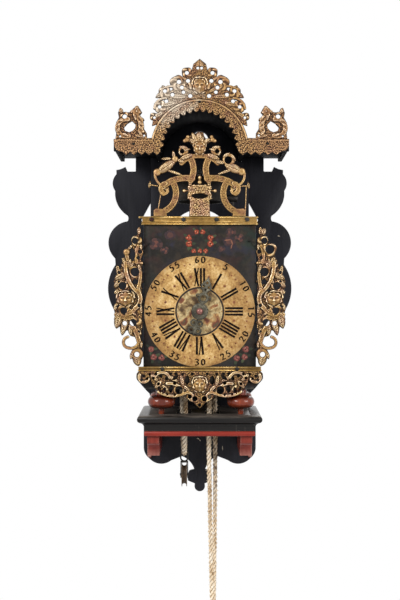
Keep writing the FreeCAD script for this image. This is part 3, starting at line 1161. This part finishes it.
def rope_wire(points):
    """Straight runs joined by tangent arcs, each arc as large as its two runs allow."""
    edges = []
    radii = []
    start = points[0]
    for index in range(1, len(points) - 1):
        before = points[index - 1] - points[index]
        after = points[index + 1] - points[index]
        half_turn = (math.pi - before.getAngle(after)) / 2
        reach = 0.45 * min(before.Length, after.Length)
        radii.append(reach / math.tan(half_turn))
        enter = points[index] + before.normalize() * reach
        leave = points[index] + after.normalize() * reach
        inward = (before + after).normalize()
        middle = points[index] + inward * (radii[-1] / math.cos(half_turn) - radii[-1])
        edges.append(Part.LineSegment(start, enter).toShape())
        edges.append(Part.Arc(enter, middle, leave).toShape())
        start = leave
    edges.append(Part.LineSegment(start, points[-1]).toShape())
    return edges, radii


def rope_half(name, side, points):
    """A quarter turn over each pulley and the hanging loop between them."""
    slant = math.sqrt(0.5)
    going_arc = Part.Arc(
        vec(GREAT_X, GOING_ROPE_Y, GREAT_Z + GOING_PULLEY_R),
        vec(GREAT_X + side * GOING_PULLEY_R * slant, GOING_ROPE_Y, GREAT_Z + GOING_PULLEY_R * slant),
        points[0])
    strike_arc = Part.Arc(
        points[-1],
        vec(GREAT_X + side * STRIKE_PULLEY_R * slant, STRIKE_ROPE_Y, GREAT_Z + STRIKE_PULLEY_R * slant),
        vec(GREAT_X, STRIKE_ROPE_Y, GREAT_Z + STRIKE_PULLEY_R))
    edges, radii = rope_wire(points)
    path = Part.Wire([going_arc.toShape()] + edges + [strike_arc.toShape()])
    section = Part.Wire([Part.Circle(vec(GREAT_X, GOING_ROPE_Y, GREAT_Z + GOING_PULLEY_R), vec(1, 0, 0),
                                     ROPE_R).toShape()])
    solid = path.makePipeShell([section], True, False)
    expected = math.pi * ROPE_R ** 2 * path.Length
    print(name, "radii", [round(r, 1) for r in radii], "length", round(path.Length, 1),
          "volume share", round(solid.Volume / expected, 4))
    return solid


left_route = [
    vec(going_left, GOING_ROPE_Y, GREAT_Z), vec(going_left, GOING_ROPE_Y, shelf_low - 4.0),
    vec(BLOCK_X + 0.8, BLOCK_Y - 8.5, BIGHT_Z), vec(BLOCK_X - 0.8, BLOCK_Y + 8.5, BIGHT_Z),
    vec(strike_left, STRIKE_ROPE_Y, shelf_low - 4.0), vec(strike_left, STRIKE_ROPE_Y, GREAT_Z)]
right_route = [
    vec(going_right, GOING_ROPE_Y, GREAT_Z), vec(going_right, GOING_ROPE_Y, shelf_low - 20.0),
    vec(LOOP_X, LOOP_Y - LOOP_HALF, LOOP_Z), vec(LOOP_X, LOOP_Y + LOOP_HALF, LOOP_Z),
    vec(strike_right, STRIKE_ROPE_Y, shelf_low - 20.0), vec(strike_right, STRIKE_ROPE_Y, GREAT_Z)]
parts["left_rope"] = rope_half("left_rope", -1, left_route)
parts["right_rope"] = rope_half("right_rope", 1, right_route)

# Pulley block hanging on the left bight: an iron ring and cheeks, and a grooved sheave on its pin

ring_top_in = BIGHT_Z + ROPE_R + CURVED_GAP
ring_low_in = ring_top_in - RING_IN_H
ring_mid_r = RING_IN_HALF + RING_WIRE_R
ring_high_z = ring_top_in - RING_IN_HALF
ring_low_z = ring_low_in + RING_IN_HALF
link_edges = [
    Part.Arc(vec(BLOCK_X - ring_mid_r, BLOCK_Y, ring_high_z),
             vec(BLOCK_X, BLOCK_Y, ring_high_z + ring_mid_r),
             vec(BLOCK_X + ring_mid_r, BLOCK_Y, ring_high_z)).toShape(),
    Part.LineSegment(vec(BLOCK_X + ring_mid_r, BLOCK_Y, ring_high_z),
                     vec(BLOCK_X + ring_mid_r, BLOCK_Y, ring_low_z)).toShape(),
    Part.Arc(vec(BLOCK_X + ring_mid_r, BLOCK_Y, ring_low_z), vec(BLOCK_X, BLOCK_Y, ring_low_z - ring_mid_r),
             vec(BLOCK_X - ring_mid_r, BLOCK_Y, ring_low_z)).toShape(),
    Part.LineSegment(vec(BLOCK_X - ring_mid_r, BLOCK_Y, ring_low_z),
                     vec(BLOCK_X - ring_mid_r, BLOCK_Y, ring_high_z)).toShape()]
link_section = Part.Wire([Part.Circle(vec(BLOCK_X - ring_mid_r, BLOCK_Y, ring_high_z), vec(0, 0, 1),
                                      RING_WIRE_R).toShape()])
link = Part.Wire(link_edges).makePipeShell([link_section], True, False)
bridge_z = ring_low_in - RING_WIRE_R
bridge_t = 2.0
sheave_z = bridge_z - bridge_t - SHEAVE_GAP - SHEAVE_R
cheek_in = SHEAVE_W / 2 + SHEAVE_GAP
cheek_out = cheek_in + CHEEK_T
cheek_y = (BLOCK_Y - CHEEK_W / 2, BLOCK_Y + CHEEK_W / 2)
cheek_low = sheave_z - 5.0
yoke = joined([
    link,
    box(BLOCK_X - cheek_out, BLOCK_X + cheek_out, *cheek_y, bridge_z - bridge_t, bridge_z),
    box(BLOCK_X - cheek_out, BLOCK_X - cheek_in, *cheek_y, cheek_low, bridge_z),
    box(BLOCK_X + cheek_in, BLOCK_X + cheek_out, *cheek_y, cheek_low, bridge_z)])
pin_room = rod_x(BLOCK_Y, sheave_z, SHEAVE_PIN_R, BLOCK_X - cheek_out, BLOCK_X + cheek_out)
sheave_pin = rod_x(BLOCK_Y, sheave_z, SHEAVE_PIN_R, BLOCK_X - cheek_out - 1.0, BLOCK_X + cheek_out + 1.0)
parts["pulley_yoke"] = Part.makeCompound([yoke.cut(pin_room), sheave_pin])
groove_low_r = SHEAVE_R - SHEAVE_GROOVE
sheave_face = wire([
    (SHEAVE_PIN_R + PIVOT_CLEAR, -SHEAVE_W / 2), (SHEAVE_R, -SHEAVE_W / 2), (SHEAVE_R, -SHEAVE_W / 2 + 1.2),
    ((groove_low_r, 0.0), (SHEAVE_R, SHEAVE_W / 2 - 1.2)), (SHEAVE_R, SHEAVE_W / 2),
    (SHEAVE_PIN_R + PIVOT_CLEAR, SHEAVE_W / 2)], lambda r,
    along: vec(BLOCK_X + along, BLOCK_Y, sheave_z + r))
parts["pulley_sheave"] = Part.Face(sheave_face).revolve(vec(BLOCK_X, BLOCK_Y, sheave_z), vec(1, 0, 0), 360)

# Lead ring that keeps the right loop of the rope taut

lead_hole_r = LEAD_RING_R - LEAD_WIRE_R
lead_z = LOOP_Z + ROPE_R + CURVED_GAP - lead_hole_r
parts["counterweight_ring"] = torus(vec(LOOP_X, LOOP_Y, lead_z), LEAD_RING_R, LEAD_WIRE_R, vec(0, 1, 0))

os.makedirs("parts", exist_ok=True)
for name, shape in parts.items():
    solids = shape.Solids
    valid = all(solid.isValid() and solid.Volume > 0 for solid in solids)
    if not valid:
        print("not valid:", name)
    if len(solids) == 1:
        solids[0].exportStep("parts/" + name + ".step")
    else:
        print(name, "solids", len(solids))
        Part.makeCompound(solids).exportStep("parts/" + name + ".step")
print("nodes", len(parts))
